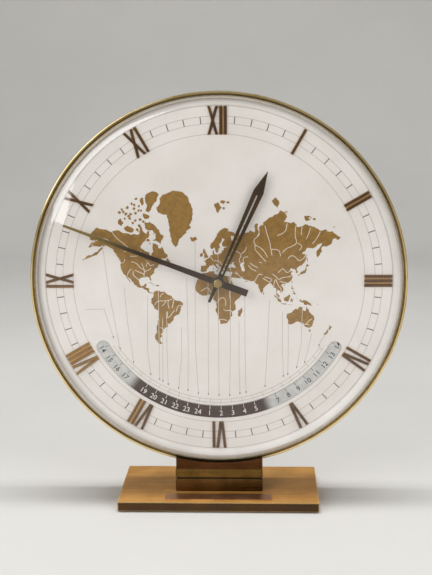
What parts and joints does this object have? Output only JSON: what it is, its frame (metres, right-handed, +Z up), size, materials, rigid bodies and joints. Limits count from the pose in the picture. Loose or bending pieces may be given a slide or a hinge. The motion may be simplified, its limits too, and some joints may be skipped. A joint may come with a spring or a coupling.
{
  "type": "table clock",
  "caption": "Round brass table clock with a domed glass, applied hour numerals, a map dial and a day and night hour ring in a curved window, on a stepped foot.",
  "frame": {"origin": "centre of the foot's underside, on the ground", "axes": "+Z up, -Y out of the dial towards the viewer, +X to the right as the dial is read"},
  "size_m": [0.26, 0.08, 0.2867],
  "materials": {
    "felt": "felt",
    "satin_brass": "brushed and lacquered, a little tarnished",
    "copper_brown": "oxidised copper brown",
    "polished_brass": "polished",
    "case_brass": "spun",
    "numeral_gold": "polished, bevelled",
    "hand_brass": "darkened",
    "cap_gold": "polished",
    "glass": "clear",
    "dial_white": "silvered white",
    "ring_white": "satin white",
    "disc_silver": "silvered",
    "plate_brass": "grained",
    "wheel_brass": "turned",
    "steel": "bright",
    "coil_copper": "enamelled wire on a bobbin",
    "black_plastic": "moulded",
    "cell_jacket": "plain jacket"
  },
  "bodies": {
    "case": {"felt_pad": "felt", "base_slab": "satin_brass", "name_plate": "copper_brown", "lower_block": "satin_brass", "upper_block": "satin_brass", "saddle": "satin_brass", "nut_plate": "steel", "case_band": "polished_brass", "bezel_ring": "polished_brass", "glass_dome": "glass", "inner_ring": "ring_white", "dial_plate": "dial_white", "back_cover": "case_brass", "bridge_plate": "plate_brass", "back_plate": "plate_brass", "hairspring": "steel", "drive_coil": "coil_copper", "battery_holder": "black_plastic", "battery_cell": "cell_jacket", "contact_plate": "steel", "contact_spring": "steel", "cover_screw_1": "steel", "cover_screw_2": "steel", "cover_screw_3": "steel", "foot_screw_left": "steel", "foot_screw_right": "steel", "bridge_screw_left": "steel", "bridge_screw_right": "steel", "door_screw": "steel", "pillar_1": "plate_brass", "pillar_2": "plate_brass", "pillar_3": "plate_brass", "numeral_01": "numeral_gold", "numeral_02": "numeral_gold", "numeral_03": "numeral_gold", "numeral_04": "numeral_gold", "numeral_05": "numeral_gold", "numeral_06": "numeral_gold", "numeral_07": "numeral_gold", "numeral_08": "numeral_gold", "numeral_09": "numeral_gold", "numeral_10": "numeral_gold", "numeral_11": "numeral_gold", "numeral_12": "numeral_gold"},
    "minute": {"minute_hand": "hand_brass", "minute_arbor": "steel", "cap_nut": "cap_gold"},
    "hour": {"hour_hand": "hand_brass", "hour_wheel": "wheel_brass"},
    "minute_wheel": {"minute_wheel": "wheel_brass"},
    "world_idler": {"world_idler": "wheel_brass"},
    "disc": {"world_wheel": "wheel_brass", "world_disc": "disc_silver"},
    "third_wheel": {"third_wheel": "wheel_brass"},
    "index_wheel": {"index_wheel": "wheel_brass"},
    "balance": {"balance_wheel": "wheel_brass"},
    "regulator": {"regulator_lever": "plate_brass"},
    "setting": {"setting_arbor": "steel", "setting_knob": "polished_brass"},
    "door": {"battery_door": "polished_brass"}
  },
  "joints": [
    {"name": "minute_turn", "type": "hinge", "parent": "case", "child": "minute", "pos_m": [0, 0, 0.1567], "axis": [0, 1, 0], "continuous": true},
    {"name": "hour_turn", "type": "hinge", "parent": "case", "child": "hour", "pos_m": [0, 0, 0.1567], "axis": [0, 1, 0], "continuous": true},
    {"name": "minute_wheel_turn", "type": "hinge", "parent": "case", "child": "minute_wheel", "pos_m": [0.012, 0, 0.1567], "axis": [0, 1, 0], "continuous": true},
    {"name": "world_idler_turn", "type": "hinge", "parent": "case", "child": "world_idler", "pos_m": [-0.012, 0, 0.1567], "axis": [0, 1, 0], "continuous": true},
    {"name": "disc_turn", "type": "hinge", "parent": "case", "child": "disc", "pos_m": [0, 0, 0.1567], "axis": [0, 1, 0], "continuous": true},
    {"name": "third_wheel_turn", "type": "hinge", "parent": "case", "child": "third_wheel", "pos_m": [-0.00764, 0, 0.16434], "axis": [0, 1, 0], "continuous": true},
    {"name": "index_wheel_turn", "type": "hinge", "parent": "case", "child": "index_wheel", "pos_m": [-0.00764, 0, 0.17454], "axis": [0, 1, 0], "continuous": true},
    {"name": "setting_turn", "type": "hinge", "parent": "case", "child": "setting", "pos_m": [0.024, 0, 0.1567], "axis": [0, 1, 0], "continuous": true},
    {"name": "balance_swing", "type": "hinge", "parent": "case", "child": "balance", "pos_m": [-0.00064, 0, 0.17454], "axis": [0, 1, 0], "range_deg": [-130, 130], "stiffness_Nm_per_rad": 0.000025},
    {"name": "regulator_turn", "type": "hinge", "parent": "case", "child": "regulator", "pos_m": [-0.00064, 0, 0.17454], "axis": [0, 1, 0], "range_deg": [-25, 25]},
    {"name": "door_swing", "type": "hinge", "parent": "case", "child": "door", "pos_m": [-0.0373, 0, 0.0987], "axis": [0, -1, 0], "range_deg": [0, 90]}
  ],
  "couplings": [
    {"joint": "minute_wheel_turn", "follows": "minute_turn", "ratio": -0.33333},
    {"joint": "hour_turn", "follows": "minute_turn", "ratio": 0.083333},
    {"joint": "world_idler_turn", "follows": "minute_turn", "ratio": -0.027778},
    {"joint": "disc_turn", "follows": "minute_turn", "ratio": 0.013889},
    {"joint": "setting_turn", "follows": "minute_turn", "ratio": 1},
    {"joint": "third_wheel_turn", "follows": "minute_turn", "ratio": -8},
    {"joint": "index_wheel_turn", "follows": "minute_turn", "ratio": 60}
  ]
}
